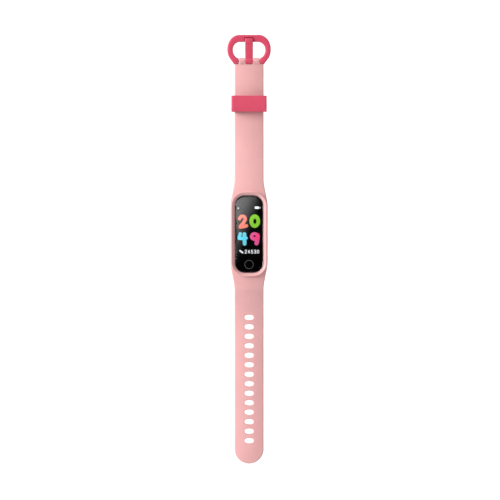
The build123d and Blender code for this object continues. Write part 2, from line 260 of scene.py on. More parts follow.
def add_node(tree, kind, inputs=(), **settings):
    """A shader node with some of its settings and input values filled in."""
    node = tree.nodes.new(kind)
    for key, value in settings.items():
        setattr(node, key, value)
    for key, value in dict(inputs).items():
        node.inputs[key].default_value = value
    return node


def object_coordinates(tree, stretch=(1, 1, 1)):
    """Object coordinates, squeezed along chosen axes for brushed or drawn-out patterns."""
    place = add_node(tree, "ShaderNodeTexCoord")
    mapping = add_node(tree, "ShaderNodeMapping", {"Scale": stretch})
    tree.links.new(place.outputs["Object"], mapping.inputs["Vector"])
    return mapping.outputs["Vector"]


def noise(tree, vector, size_mm, detail=3.0):
    """Noise between 0 and 1 with patches of about the given size."""
    node = add_node(tree, "ShaderNodeTexNoise", {"Scale": 1 / (size_mm * MM), "Detail": detail})
    tree.links.new(vector, node.inputs["Vector"])
    return node.outputs["Fac"]


def material(name, colour, rough, mottle=0.04, mottle_mm=3.0, rough_spread=0.08, grain_mm=0.25,
             grain=0.1, grain_height=0.01, stretch=(1, 1, 1), **shader):
    """A moulded, drawn or brushed surface: colour mottle, uneven gloss and a fine grain."""
    made = bpy.data.materials.new(name)
    made.use_nodes = True
    tree = made.node_tree
    surface = tree.nodes["Principled BSDF"]
    for key, value in shader.items():
        surface.inputs[key.replace("_", " ")].default_value = value
    vector = object_coordinates(tree, stretch)

    shades = add_node(tree, "ShaderNodeValToRGB")
    shades.color_ramp.elements[0].position = 0.3
    shades.color_ramp.elements[1].position = 0.7
    shades.color_ramp.elements[0].color = [*(max(0.0, v * (1 - mottle)) for v in colour), 1]
    shades.color_ramp.elements[1].color = [*(min(1.0, v * (1 + mottle)) for v in colour), 1]
    tree.links.new(noise(tree, vector, mottle_mm), shades.inputs["Fac"])
    tree.links.new(shades.outputs["Color"], surface.inputs["Base Color"])

    gloss = add_node(tree, "ShaderNodeMapRange", {
        "To Min": max(0.0, rough - rough_spread), "To Max": min(1.0, rough + rough_spread)})
    tree.links.new(noise(tree, vector, mottle_mm / 4), gloss.inputs["Value"])
    tree.links.new(gloss.outputs["Result"], surface.inputs["Roughness"])

    bump = add_node(tree, "ShaderNodeBump", {"Strength": grain, "Distance": grain_height * MM})
    tree.links.new(noise(tree, vector, grain_mm, 5.0), bump.inputs["Height"])
    tree.links.new(bump.outputs["Normal"], surface.inputs["Normal"])
    return made


PINK = linear(228, 171, 171)
HOT_PINK = linear(213, 73, 101)

silicone = material("silicone_pink", PINK, 0.5, mottle=0.02, mottle_mm=6, grain_mm=0.12, grain=0.25,
                    Subsurface_Weight=0.12, Subsurface_Scale=0.6 * MM,
                    Subsurface_Radius=(1.0, 0.45, 0.35), Sheen_Weight=0.15, Sheen_Roughness=0.5)
hot_silicone = material("silicone_hot_pink", HOT_PINK, 0.55, mottle=0.03, grain_mm=0.12,
                        grain=0.25, Subsurface_Weight=0.06, Subsurface_Scale=0.4 * MM)
hot_plastic = material("plastic_hot_pink", HOT_PINK, 0.38, mottle=0.02, grain_mm=0.2, grain=0.08,
                       Coat_Weight=0.15, Coat_Roughness=0.25)
steel = material("steel_drawn", (0.6, 0.6, 0.61), 0.28, mottle=0.05, grain_mm=0.15, grain=0.2,
                 stretch=(0.1, 1, 1), Metallic=1.0)
gold = material("contact_gold", (0.85, 0.6, 0.22), 0.25, mottle=0.05, mottle_mm=0.8, Metallic=1.0)
case_black = material("case_black", linear(34, 34, 36), 0.5, mottle=0.1, grain_mm=0.1, grain=0.5)
seal_black = material("seal_black", linear(24, 24, 25), 0.65, mottle=0.1)
tape_black = material("tape_black", linear(18, 18, 20), 0.7, grain_mm=0.3, grain=0.3)
ink_black = material("ink_black", linear(4, 5, 5), 0.35, mottle=0.2, grain=0.0,
                     Specular_IOR_Level=0.05)
chip_black = material("chip_epoxy", linear(30, 30, 32), 0.55, grain_mm=0.08, grain=0.6)
board_green = material("board_green", linear(18, 86, 48), 0.35, mottle=0.2, mottle_mm=1.2,
                       Coat_Weight=0.4)
foil = material("battery_foil", (0.7, 0.7, 0.72), 0.35, mottle=0.06, mottle_mm=2, grain_mm=0.8,
                grain=0.4, Metallic=0.9)
foam = material("foam_grey", linear(70, 70, 74), 0.9, mottle=0.2, mottle_mm=0.3, grain_mm=0.1,
                grain=1.0, grain_height=0.05)
ribbon = material("ribbon_amber", linear(176, 104, 28), 0.3, mottle=0.1, mottle_mm=0.5)
white_guide = material("light_guide", linear(232, 234, 232), 0.4, mottle=0.02)
ceramic = material("antenna_ceramic", linear(222, 220, 214), 0.4, mottle=0.03)
wire_red = material("wire_red", linear(186, 22, 24), 0.4, mottle=0.05, mottle_mm=0.5)
weight_metal = material("tungsten_weight", (0.5, 0.45, 0.38), 0.4, mottle=0.1, Metallic=1.0)
touch_grey = material("touch_film", linear(120, 122, 126), 0.4, mottle=0.05)
diode_dark = material("diode_dark", linear(34, 22, 36), 0.15, mottle=0.1, mottle_mm=0.4)
led_green = material("led_green", linear(60, 220, 110), 0.3, mottle=0.1, mottle_mm=0.4,
                     Emission_Color=(0.1, 1.0, 0.3, 1.0), Emission_Strength=0.6)
window_dark = material("sensor_window", linear(20, 20, 24), 0.08, mottle=0.1, grain=0.0,
                       Coat_Weight=0.8, Transmission_Weight=0.3)
glass = material("cover_glass", (1.0, 1.0, 1.0), 0.02, mottle=0.0, rough_spread=0.01, grain=0.0,
                 Transmission_Weight=1.0, IOR=1.48)

SLOT_MATERIALS = {
    "silicone": silicone, "keeper_rubber": hot_silicone, "buckle_plastic": hot_plastic,
    "steel": steel, "case_plastic": case_black, "seal_rubber": seal_black, "cover_glass": glass,
    "black_adhesive": tape_black, "screen": ink_black, "backlight_white": white_guide,
    "ribbon_film": ribbon, "chip_black": chip_black, "touch_film": touch_grey, "grey_foam": foam,
    "circuit_board": board_green, "antenna_ceramic": ceramic, "led_green": led_green,
    "sensor_dark": diode_dark, "sensor_lens": window_dark, "battery_foil": foil,
    "lead_red": wire_red, "brass_weight": weight_metal, "gold_contact": gold,
}


def dress_cad_nodes():
    """Every CAD node that stays gets the material of its slot."""
    slots = {s["node"]: s["material_slot"] for s in frame["record"]["subparts"]}
    for node, cad_object in frame["nodes"].items():
        cad_object.data.materials.clear()
        cad_object.data.materials.append(SLOT_MATERIALS[slots[node]])
        cad_object.data.polygons.foreach_set("use_smooth", [True] * len(cad_object.data.polygons))
        cad_object.data.set_sharp_from_angle(angle=math.radians(30))


# ---- silicone band: section ----------------------------------------------------------------
def fall(y, high, low, power):
    """Height of the strap between the crease and the flat stretch, as in the CAD."""
    share = max(0.0, (FLAT_Y - y) / (FLAT_Y - CREASE_Y))
    return low + (high - low) * share**power


def top_height(y, floor):
    """Height of the outer face along the strap's middle line."""
    if y < CREASE_Y:
        return mix(SHOULDER_TOP, CREASE_TOP, (y - CRADLE_END_Y) / (CREASE_Y - CRADLE_END_Y))
    return fall(y, CREASE_TOP, floor + STRAP_THICK, 1.8)


def under_height(y, floor):
    """Height of the wrist face."""
    if y < CREASE_Y:
        return mix(SHOULDER_UNDER, CREASE_UNDER, (y - CRADLE_END_Y) / (CREASE_Y - CRADLE_END_Y))
    return fall(y, CREASE_UNDER, floor, 1.6)


def half_width(y):
    """Half the strap's width, which flares to the cradle's."""
    share = ease((FLARE_END_Y - y) / (FLARE_END_Y - FLARE_START_Y))
    return mix(STRAP_HALF, CRADLE_HALF, share)


def crowned(x, y, floor):
    """Top surface height: slightly domed across the strap."""
    return top_height(y, floor) - CROWN * (x / half_width(y)) ** 2


def side_points(y, floor):
    """Right side of the section as (x, z), from the core's edge over the side to underneath."""
    width, low = half_width(y), under_height(y, floor)
    shelf = width - SIDE_EDGE
    high = crowned(shelf, y, floor)
    points = [(x, crowned(x, y, floor)) for x in spaced(CORE_HALF, shelf, 4)]
    points += arc_points((shelf, high - SIDE_EDGE), SIDE_EDGE, 90, 0, 6)[1:]
    points += [(width, (high + low) / 2)]
    points += arc_points((shelf, low + SIDE_EDGE), SIDE_EDGE, 0, -90, 6)
    return points + [(x, low) for x in spaced(shelf, CORE_HALF, 4)[1:]]


def section(y, floor):
    """The whole section as a closed loop of (x, z)."""
    right = side_points(y, floor)
    left = [(-x, z) for x, z in right[::-1]]
    core = spaced(-CORE_HALF, CORE_HALF, CORE_COLUMNS)[1:-1]
    over = [(x, crowned(x, y, floor)) for x in core]
    under = [(x, under_height(y, floor)) for x in core[::-1]]
    return right + under + left + over


def plain_stretch(y_low, y_high, floor, steps, caps=False):
    """A stretch of strap without holes."""
    loops = [[(x, y, z) for x, z in section(y, floor)] for y in spaced(y_low, y_high, steps)]
    return skin(loops, caps=caps)


def cap(y, floor):
    """The flat face that closes a strap piece, against its neighbour."""
    loop = [(x, y, z) for x, z in section(y, floor)]
    return loop, [tuple(range(len(loop)))]


# ---- silicone band: holes ------------------------------------------------------------------
def slot_point(x, y, grow):
    """The point of a hole's outline, grown outwards, that faces a point of its cell's border."""
    spine = (HOLE_HALF - HOLE_RADIUS) * x / CORE_HALF
    aim = Vector((x - spine, y)).normalized() * (HOLE_RADIUS + grow)
    return spine + aim.x, aim.y


def hole_cell(centre_y, floor):
    """One pitch of strap with a hole in it."""
    low, high = centre_y - HOLE_PITCH / 2, centre_y + HOLE_PITCH / 2
    rows = spaced(low, high, ROWS_PER_HOLE)
    sides = []
    for sign in (-1, 1):
        strips = [[(sign * x, y, z) for x, z in side_points(y, floor)] for y in rows]
        sides.append(sheet_between(strips))
    columns = spaced(-CORE_HALF, CORE_HALF, CORE_COLUMNS)
    offsets = [y - centre_y for y in rows]
    border = [(CORE_HALF, y) for y in offsets[:-1]]
    border += [(x, offsets[-1]) for x in columns[::-1][:-1]]
    border += [(-CORE_HALF, y) for y in offsets[::-1][:-1]]
    border += [(x, offsets[0]) for x in columns[:-1]]

    def ring(share, grow, drop, under):
        loop = []
        for x, y in border:
            slot_x, slot_y = slot_point(x, y, grow)
            ring_x, ring_y = mix(x, slot_x, share), mix(y, slot_y, share)
            if under:
                z = under_height(centre_y + ring_y, floor) + drop
            else:
                z = crowned(ring_x, centre_y + ring_y, floor) - drop
            loop.append((ring_x, centre_y + ring_y, z))
        return loop

    steps = [(share, HOLE_EDGE, 0.0) for share in (0, 0.35, 0.7)]
    for angle in spaced(0, math.pi / 2, 3):
        steps.append((1, HOLE_EDGE * (1 - math.sin(angle)), HOLE_EDGE * (1 - math.cos(angle))))
    rings = [ring(*step, under=False) for step in steps]
    rings += [ring(*step, under=True) for step in steps[::-1]]
    return joined(*sides, skin(rings))


def stretch(y_low, y_high, floor, hole_count):
    """A stretch of strap, with those of its side's holes whose cells lie in it."""
    first_hole = TAIL_HINGES[1][0] + HOLE_PITCH / 2
    centres = [first_hole + i * HOLE_PITCH for i in range(hole_count)]
    inside = [y for y in centres if y_low - 0.01 < y - HOLE_PITCH / 2 and
              y + HOLE_PITCH / 2 < y_high + 0.01]
    cells = [hole_cell(y, floor) for y in inside]
    edges = [y_low]
    if inside:
        edges += [inside[0] - HOLE_PITCH / 2, inside[-1] + HOLE_PITCH / 2]
    edges.append(y_high)
    for start, stop in zip(edges[::2], edges[1::2]):
        if stop - start > 0.01:
            steps = max(2, round((stop - start) / HOLE_PITCH * ROWS_PER_HOLE))
            cells.append(plain_stretch(start, stop, floor, steps))
    return joined(*cells)


def round_tip(centre_y, floor):
    """The half disc at the tail's end."""
    right = side_points(centre_y, floor)
    core = spaced(0, CORE_HALF, CORE_COLUMNS // 2)[:-1]
    profile = [(x, crowned(x, centre_y, floor)) for x in core] + right
    profile += [(x, under_height(centre_y, floor)) for x in core[::-1]]
    rows = []
    for angle in spaced(0, math.pi, 36):
        rows.append([(r * math.cos(angle), centre_y + r * math.sin(angle), z) for r, z in profile])
    return sheet_between(rows)


# ---- silicone band: pieces -----------------------------------------------------------------
def make_strap(name, hinges, floor, sign, hole_count):
    """Strap pieces from mid-link to mid-link, each with its hinge in the middle."""
    for i, (hinge_y, _) in enumerate(hinges):
        y_low, y_high = hinge_y - HALF_LINK, hinge_y + HALF_LINK
        if hole_count and i == len(hinges) - 1:
            tip_centre = TIP_Y - STRAP_HALF
            shape = joined(stretch(y_low, tip_centre, floor, hole_count), round_tip(tip_centre, floor))
        else:
            shape = joined(stretch(y_low, y_high, floor, hole_count), cap(y_high, floor))
        shape = joined(shape, cap(y_low, floor))
        if sign < 0:
            shape = mirror_y(shape)
        piece = new_object(f"{name}_flex_{i + 1}", shape, silicone)
        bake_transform(piece)
        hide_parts(f"{name}_link_{i + 1}")


def carve(piece, cutter):
    """Take the cutter's shape out of the piece and drop the cutter."""
    cut = piece.modifiers.new("carve", "BOOLEAN")
    cut.object = cutter
    cut.solver = "EXACT"
    shown = piece.evaluated_get(bpy.context.evaluated_depsgraph_get())
    carved = bpy.data.meshes.new_from_object(shown)
    piece.modifiers.clear()
    piece.data = carved
    piece.data.set_sharp_from_angle(angle=math.radians(35))
    bpy.data.objects.remove(cutter)


def bore_rod():
    """A rod as thick as the bores that run on the buckle pin, reaching from ear to ear."""
    circle = arc_points((PIN_Y, PIN_Z), BORE_RADIUS, 0, 360, 32)[:-1]
    loops = [[(x, y, z) for y, z in circle] for x in (-EAR_INNER_X, EAR_INNER_X)]
    return new_object("bore_rod", skin(loops, caps=True), steel)


def make_buckle_strap_end():
    """The stiff stretch under the keeper, with the two knuckles round the buckle pin."""
    start = BUCKLE_HINGES[-1][0] + HALF_LINK
    overrun = 0.14       # past the CAD's end face, and still clear of the tongue's eye
    strap = plain_stretch(start, SHOULDER_Y + overrun, BUCKLE_FLOOR, 24, caps=True)
    eye = arc_points((PIN_Y, PIN_Z), KNUCKLE_RADIUS, -120, 120, 28)
    neck_y = SHOULDER_Y - 0.6
    outline = [(neck_y, BUCKLE_FLOOR + 0.1), *eye, (76.3, 2.6), (neck_y, 2.5)]
    inner, outer = TONGUE_HALF + 0.1, EAR_INNER_X - 0.1
    knuckles = [bevelled_prism(outline, (outer - inner) / 2, 0.25, x=side * (inner + outer) / 2)
                for side in (-1, 1)]
    end = new_object("buckle_strap_end", strap, silicone, "buckle_strap_4")
    rings = new_object("buckle_knuckles", joined(*knuckles), silicone, "buckle_strap_4")
    carve(rings, bore_rod())


def shoulder(floor):
    """The band between the cradle's end wall and the first flexing piece."""
    y_end = TAIL_HINGES[0][0] - HALF_LINK
    # The shoulder starts on a rounded outline that lies inside the cradle's wall.
    wall_x, wall_y, wall_radius = 7.7, 18.65, 7.0
    corner_x, corner_y = wall_x - wall_radius, wall_y - wall_radius
    search_start, search_step = 12.2, 0.05

    def inside_wall(x, y):
        if x <= corner_x or y <= corner_y:
            return x < wall_x and y < wall_y
        return math.hypot(x - corner_x, y - corner_y) < wall_radius

    final = section(y_end, floor)
    starts = []
    for x, _ in final:
        y = search_start
        while inside_wall(abs(x) / half_width(y_end) * half_width(y), y):
            y += search_step
        starts.append(y)
    loops = []
    for share in spaced(0, 1, 14):
        loop = []
        for i, y_start in enumerate(starts):
            y = mix(y_start, y_end, share)
            x, z = section(y, floor)[i]
            loop.append((x, y, z))
        loops.append(loop)
    points, faces = skin(loops)
    size = len(final)
    right = len(side_points(y_end, floor))
    middle = CORE_COLUMNS - 1
    left_start = right + middle
    for side_start in (0, left_start):
        for i in range(right // 2):
            a, b = side_start + i, side_start + right - 1 - i
            faces.append((a, a + 1, b - 1, b) if b - 1 > a + 1 else (a, a + 1, b))
    over = [left_start + right - 1, *range(left_start + right, size), 0]
    under = [right - 1, *range(right, right + middle), left_start][::-1]
    for i in range(len(over) - 1):
        faces.append((over[i], over[i + 1], under[i + 1], under[i]))
    return joined((points, faces), cap(y_end, floor))


def make_cradle():
    """The thick ring round the capsule with its dished lip, and both shoulders."""
    rim = (CRADLE_HALF, CRADLE_END_Y, CRADLE_CORNER)
    crest, top_round, foot_round = 1.35, 1.25, 0.9
    loops = [level(POCKET, 0, CRADLE_FLOOR + 0.4), level(POCKET, 0, 5.0),
             level(POCKET, 0, LIP_FLOOR), level(WINDOW, 0.02, LIP_FLOOR)]
    loops += [level(WINDOW, grow, z) for grow, z in (
        (0, LIP_FLOOR + 0.1), (0, 9.2), (0.05, 9.32), (0.2, 9.45), (0.5, 9.72), (0.8, 9.97),
        (1.05, 10.17), (1.22, RIM_TOP - 0.06), (crest, RIM_TOP))]
    outside = level(rim, 0, 9.0)
    top = loops[-1]
    for angle in spaced(0, 90, 7)[1:]:
        out, drop = math.sin(math.radians(angle)), 1 - math.cos(math.radians(angle))
        loops.append([(mix(a[0], b[0], out), mix(a[1], b[1], out), RIM_TOP - top_round * drop)
                      for a, b in zip(top, outside)])
    loops += [level(rim, 0, z) for z in (8.0, 6.0, 4.0, CRADLE_FLOOR + foot_round)]
    for angle in spaced(0, 90, 5)[1:]:
        turn = math.radians(angle)
        loops.append(level(rim, -foot_round * (1 - math.cos(turn)),
                           CRADLE_FLOOR + foot_round * (1 - math.sin(turn))))
    loops += [level(POCKET, 0.3, CRADLE_FLOOR), level(POCKET, 0.1, CRADLE_FLOOR + 0.1)]
    shape = joined(skin(loops, wrap=True), shoulder(BUCKLE_FLOOR), mirror_y(shoulder(TAIL_FLOOR)))
    piece = new_object("band_cradle_soft", shape, silicone, "cradle")
    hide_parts("band_cradle")


# ---- keeper, buckle and tongue -------------------------------------------------------------
def make_keeper():
    """Square free loop in soft rubber."""
    low, high = box_mm("keeper_loop")
    centre_y, centre_z = (low[1] + high[1]) / 2, (low[2] + high[2]) / 2
    half_x, half_y, half_z = high[0], (high[1] - low[1]) / 2, (high[2] - low[2]) / 2
    wall, edge = 0.9, 0.22
    outer = (half_x, half_z, 0.7)
    inner = (STRAP_HALF + 0.2, half_z - wall, 0.35)

    def ring(shape, grow, y):
        half_a, half_b, radius = (v + grow for v in shape)
        return [(a, y, centre_z + b) for a, b in rounded_loop(half_a, half_b, radius, 6, 8, 14)]

    loops = []
    for shape, sign in ((outer, -1), (inner, 1)):
        for side, angles in ((sign, spaced(0, 90, 3)), (-sign, spaced(90, 0, 3))):
            for angle in angles:
                turn = math.radians(angle)
                y = centre_y + side * (half_y - edge * (1 - math.cos(turn)))
                loops.append(ring(shape, sign * edge * (1 - math.sin(turn)), y))
    piece = new_object("keeper_soft", skin(loops, wrap=True), hot_silicone, "keeper")
    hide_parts("keeper_loop")


def frame_stations():
    """Right half of the buckle frame: (inner point, outer point, half thickness), from the top."""
    half_thick = (box_mm("buckle_frame")[1][2] - box_mm("buckle_frame")[0][2]) / 2 - 0.2
    ear_x, ear_y = 6.68, PIN_Y - KNUCKLE_RADIUS
    inner_top, inner_bend_x, inner_side, inner_side_y = 86.4, 3.9, 7.25, 83.1
    outer_top, outer_bend_x, outer_side, outer_side_y = 89.6, 4.4, 9.8, 83.3
    cheek_x, cheek_y = 8.95, 79.4        # where the frame's outline turns in towards the ears
    stations = [((mix(0, inner_bend_x, s), inner_top), (mix(0, outer_bend_x, s), outer_top))
                for s in spaced(0, 1, 8)]
    for angle in spaced(0, math.pi / 2, 14)[1:]:
        inner = (mix(inner_bend_x, inner_side, math.sin(angle)),
                 mix(inner_side_y, inner_top, math.cos(angle)))
        outer = (mix(outer_bend_x, outer_side, math.sin(angle)),
                 mix(outer_side_y, outer_top, math.cos(angle)))
        stations.append((inner, outer))
    for share in spaced(0, 1, 12)[1:]:
        inner = quadratic((inner_side, inner_side_y), (7.3, 80.0), (EAR_INNER_X, 78.9), share)
        outer = quadratic((outer_side, outer_side_y), (9.85, 81.1), (cheek_x, cheek_y), share)
        stations.append((inner, outer))
    stations = [(inner, outer, half_thick) for inner, outer in stations]
    drops = [78.5, 78.15, PIN_Y]
    drops += [PIN_Y - KNUCKLE_RADIUS * math.sin(a) for a in spaced(0, math.radians(84), 9)[1:]]
    for y in drops:
        outer_x = mix(ear_x, cheek_x, (y - ear_y) / (cheek_y - ear_y))
        round_half = math.sqrt(max(0.0, KNUCKLE_RADIUS**2 - (y - PIN_Y) ** 2))
        half = round_half if y < PIN_Y else max(half_thick, round_half)
        stations.append(((EAR_INNER_X, y), (outer_x, y), half))
    return stations


def rounded_bar(inner, outer, half):
    """Section of the frame between an inner and an outer point."""
    across = Vector((outer[0] - inner[0], outer[1] - inner[1]))
    width = across.length
    across.normalize()
    edge = min(0.6, 0.8 * half)
    loop = []
    for corner_s, corner_z, start in ((width - edge, half - edge, 90), (width - edge, edge - half, 0),
                                      (edge, edge - half, -90), (edge, half - edge, 180)):
        for s, z in arc_points((corner_s, corner_z), edge, start, start - 90, 4):
            loop.append((inner[0] + across.x * s, inner[1] + across.y * s, PIN_Z + z))
    return loop


def make_frame():
    """D-shaped buckle frame with round-ended ears and the notch for the tongue's tip."""
    right = [rounded_bar(*station) for station in frame_stations()]
    left = [[(-x, y, z) for x, y, z in loop] for loop in right[:0:-1]]
    piece = new_object("buckle_frame_fine", skin(left + right, caps=True), hot_plastic, "buckle")
    notch = new_object("notch", bevelled_prism(
        [(85.0, PIN_Z + 0.4), (88.4, PIN_Z + 0.4), (88.6, PIN_Z + 3), (85.0, PIN_Z + 3)],
        TONGUE_HALF + 0.24, 0.05), hot_plastic)
    carve(piece, notch)
    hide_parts("buckle_frame")


def make_tongue():
    """The tongue: an eye round the pin, a flat bar, and a raised pad that rests in the notch."""
    low, rise, thick, pad_rise = PIN_Z - 0.2, 0.7, 1.3, 0.3
    ramp_start, ramp_end, tip_y = 82.3, 85.4, 88.15
    ramp = [(y, low + rise * ease((y - ramp_start) / (ramp_end - ramp_start)))
            for y in spaced(ramp_start, ramp_end, 10)]
    high = low + rise
    tip = [(tip_y - 0.3, high), (tip_y, high + 0.3), (tip_y, high + thick - 0.15),
           (tip_y - 0.17, high + thick + 0.17)]      # both corners cut off
    eye = arc_points((PIN_Y, PIN_Z), KNUCKLE_RADIUS, 48, 352, 40)
    pad = [(y, z + thick + pad_rise)
           for y, z in ((tip_y - 0.55, high), (85.95, high), (85.7, high - 0.06))]
    outline = [*ramp, *tip, *pad, (85.6, high + thick),
               *[(y, z + thick) for y, z in ramp[-2::-1]], *eye]
    piece = new_object("tongue_fine", bevelled_prism(outline, TONGUE_HALF, 0.28), hot_plastic, "tongue")
    carve(piece, bore_rod())
    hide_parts("buckle_tongue")


# ---- screen --------------------------------------------------------------------------------
def glow(name, colour, strength, shade=0.55, across_mm=5.0, centre=(0, 0)):
    """Lit screen colour with a painted highlight and shade: it fades a little from the upper left, where the key
    light comes from, to the lower right.
    """
    made = material(name, colour, 0.5, mottle=0.0, grain=0.0)
    tree = made.node_tree
    surface = tree.nodes["Principled BSDF"]
    place = add_node(tree, "ShaderNodeTexCoord")
    split = add_node(tree, "ShaderNodeSeparateXYZ")
    tree.links.new(place.outputs["Object"], split.inputs["Vector"])
    slope = add_node(tree, "ShaderNodeMath", operation="SUBTRACT")
    tree.links.new(split.outputs["Y"], slope.inputs[0])
    tree.links.new(split.outputs["X"], slope.inputs[1])
    middle = (centre[1] - centre[0]) * MM
    spread = add_node(tree, "ShaderNodeMapRange", {
        "From Min": middle - across_mm * MM, "From Max": middle + across_mm * MM})
    tree.links.new(slope.outputs["Value"], spread.inputs["Value"])
    # Painted shade: towards the lower right the colour falls to the shade share of itself, away from the key
    # light.
    shades = add_node(tree, "ShaderNodeValToRGB")
    shades.color_ramp.elements[0].color = [*(v * shade for v in colour), 1]
    shades.color_ramp.elements[1].color = [*colour, 1]
    tree.links.new(spread.outputs["Result"], shades.inputs["Fac"])
    tree.links.new(shades.outputs["Color"], surface.inputs["Emission Color"])
    surface.inputs["Emission Strength"].default_value = strength
    surface.inputs["Specular IOR Level"].default_value = 0.05
    return made


INK_Z = GLASS_UNDER + 0.003
LIT_Z = INK_Z + 0.008
IMAGE_Z = LIT_Z + 0.006
LAYER_THICK = 0.004


def layer(name, outline, z, paint, centre=(0, 0), turn=0.0):
    """A thin printed or lit layer under the glass, from its (x, y) outline, turned in degrees."""
    c, s = math.cos(math.radians(turn)), math.sin(math.radians(turn))
    loops = [[(centre[0] + c * x - s * y, centre[1] + s * x + c * y, z + rise) for x, y in outline]
             for rise in (0, LAYER_THICK)]
    piece = new_object(name, skin(loops, caps=True), paint, "capsule")


def band_layer(name, outer, inner, z, paint):
    """A thin layer between two closed (x, y) outlines of equal length, one inside the other."""
    loops = [[(x, y, z + rise) for x, y in outline] for outline, rise in (
        (inner, 0), (outer, 0), (outer, LAYER_THICK), (inner, LAYER_THICK))]
    piece = new_object(name, skin(loops, wrap=True), paint, "capsule")


def oval(centre, half_x, half_y):
    """The outline of an upright ellipse."""
    return [(centre[0] + half_x * x, centre[1] + half_y * y)
            for x, y in arc_points((0, 0), 1, 0, 360, 64)[:-1]]


def brush_line(points, steps=10):
    """A smooth path that starts and ends at the end points and is pulled towards the others."""
    middles = [tuple((p + q) / 2 for p, q in zip(a, b)) for a, b in zip(points[1:-1], points[2:-1])]
    stops = [points[0], *middles, points[-1]]
    path = [stops[0]]
    for start, pull, stop in zip(stops, points[1:-1], stops[1:]):
        path += [quadratic(start, pull, stop, share) for share in spaced(0, 1, steps)[1:]]
    return path


def stroke(path, width):
    """The outline of a path drawn with a round brush."""
    sides = {1: [], -1: []}
    for i, (x, y) in enumerate(path):
        before, after = path[max(0, i - 1)], path[min(len(path) - 1, i + 1)]
        run = Vector((after[0] - before[0], after[1] - before[1])).normalized()
        for side, outline in sides.items():
            outline.append((x + side * run.y * width / 2, y - side * run.x * width / 2))
    outline = sides[1][:]
    for end, sign in ((path[-1], 1), (path[0], -1)):
        inner = path[-2] if sign > 0 else path[1]
        heading = math.degrees(math.atan2(end[1] - inner[1], end[0] - inner[0]))
        outline += arc_points(end, width / 2, heading - 90, heading + 90, 10)[1:-1]
        if sign > 0:
            outline += sides[-1][::-1]
    return outline


def small_digit(name, strokes, corner, size, paint):
    """A thin digit drawn in strokes, each a list of points in a box one unit wide and high."""
    for i, points in enumerate(strokes):
        path = [(corner[0] + size[0] * x, corner[1] + size[1] * y) for x, y in points]
        path = brush_line(path) if len(path) > 2 else path
        layer(f"{name}_{i + 1}", stroke(path, DIGIT_WIDTH), IMAGE_Z, paint)


def make_glass():
    """The cover glass with its rounded edge, over the black ink border."""
    edge = 0.5
    loops = [level(GLASS, 0, GLASS_UNDER + 0.04)]
    for angle in spaced(0, math.pi / 2, 8):
        loops.append(level(GLASS, edge * (math.cos(angle) - 1),
                           GLASS_TOP + edge * (math.sin(angle) - 1)))
    loops += [level(GLASS, -edge - inset, GLASS_TOP) for inset in (0.04, 0.5)]
    piece = new_object("glass_lens", skin(loops, caps=True), glass, "capsule")
    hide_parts("cover_glass")
    ink_gap = 0.03
    ink_outline = rounded_loop(*[v - ink_gap for v in GLASS])
    layer("ink_border", ink_outline, INK_Z, ink_black)


# Each numeral: its brush strokes as (width, points that shape the stroke), and its colour.
NUMERALS = (
    ("two", ((1.45, ((-4.3, 6.9), (-3.8, 7.9), (-2.5, 8.1), (-1.5, 7.2), (-2.2, 5.3), (-3.9, 3.4))),
             (1.45, ((-3.95, 3.2), (-2.6, 3.25), (-1.1, 3.75)))), (226, 122, 104)),
    ("zero", (), (126, 188, 52)),
    ("four", ((1.5, ((-3.9, 0.15), (-4.2, -0.9), (-4.45, -1.6))),
              (1.5, ((-4.4, -1.9), (-2.9, -2.0), (-1.3, -1.75))),
              (1.75, ((-2.05, 0.0), (-2.1, -2.2), (-1.95, -4.3)))), (104, 196, 212)),
    ("nine", ((1.95, ((3.85, -0.6), (3.9, -2.2), (3.35, -4.1))),), (214, 88, 146)),
)
# The closed loops of two numerals: outer and inner oval, each as (centre, half width, half height).
LOOPS = {
    "zero": (((2.55, 5.82), 2.4, 3.05), ((2.6, 5.75), 0.68, 1.15)),
    "nine": (((2.5, -1.05), 2.15, 1.95), ((2.45, -0.85), 0.5, 0.42)),
}
DIGIT_WIDTH = 0.21       # brush width of the small digits
DIGIT_SIZE = (0.76, 1.4)
DIGIT_START = (-1.85, -8.55)
DIGIT_PITCH = 1.38
# The digits of the step count, stroke by stroke, in a box one unit wide and high.
STEP_COUNT = (
    ("two", (((0.05, 0.72), (0.15, 1.05), (1.1, 1.05), (0.9, 0.5), (0.05, 0.03)),
             ((0.05, 0.0), (0.95, 0.0)))),
    ("four", (((0.7, 1.0), (0.0, 0.32)), ((0.0, 0.32), (1.0, 0.32)), ((0.7, 1.0), (0.7, 0.0)))),
    ("five", (((0.9, 1.0), (0.12, 1.0)), ((0.12, 1.0), (0.08, 0.55)),
              ((0.08, 0.55), (1.0, 0.8), (1.05, -0.05), (0.2, -0.05), (0.03, 0.18)))),
    ("three", (((0.05, 0.85), (0.2, 1.05), (1.0, 1.05), (0.95, 0.55), (0.4, 0.54)),
               ((0.4, 0.54), (1.05, 0.5), (1.0, -0.05), (0.2, -0.05), (0.03, 0.18)))),
    ("zero", (((0.5, 1.0), (0.0, 1.05), (0.0, -0.05), (0.5, 0.0)),
              ((0.5, 1.0), (1.0, 1.05), (1.0, -0.05), (0.5, 0.0)))),
)


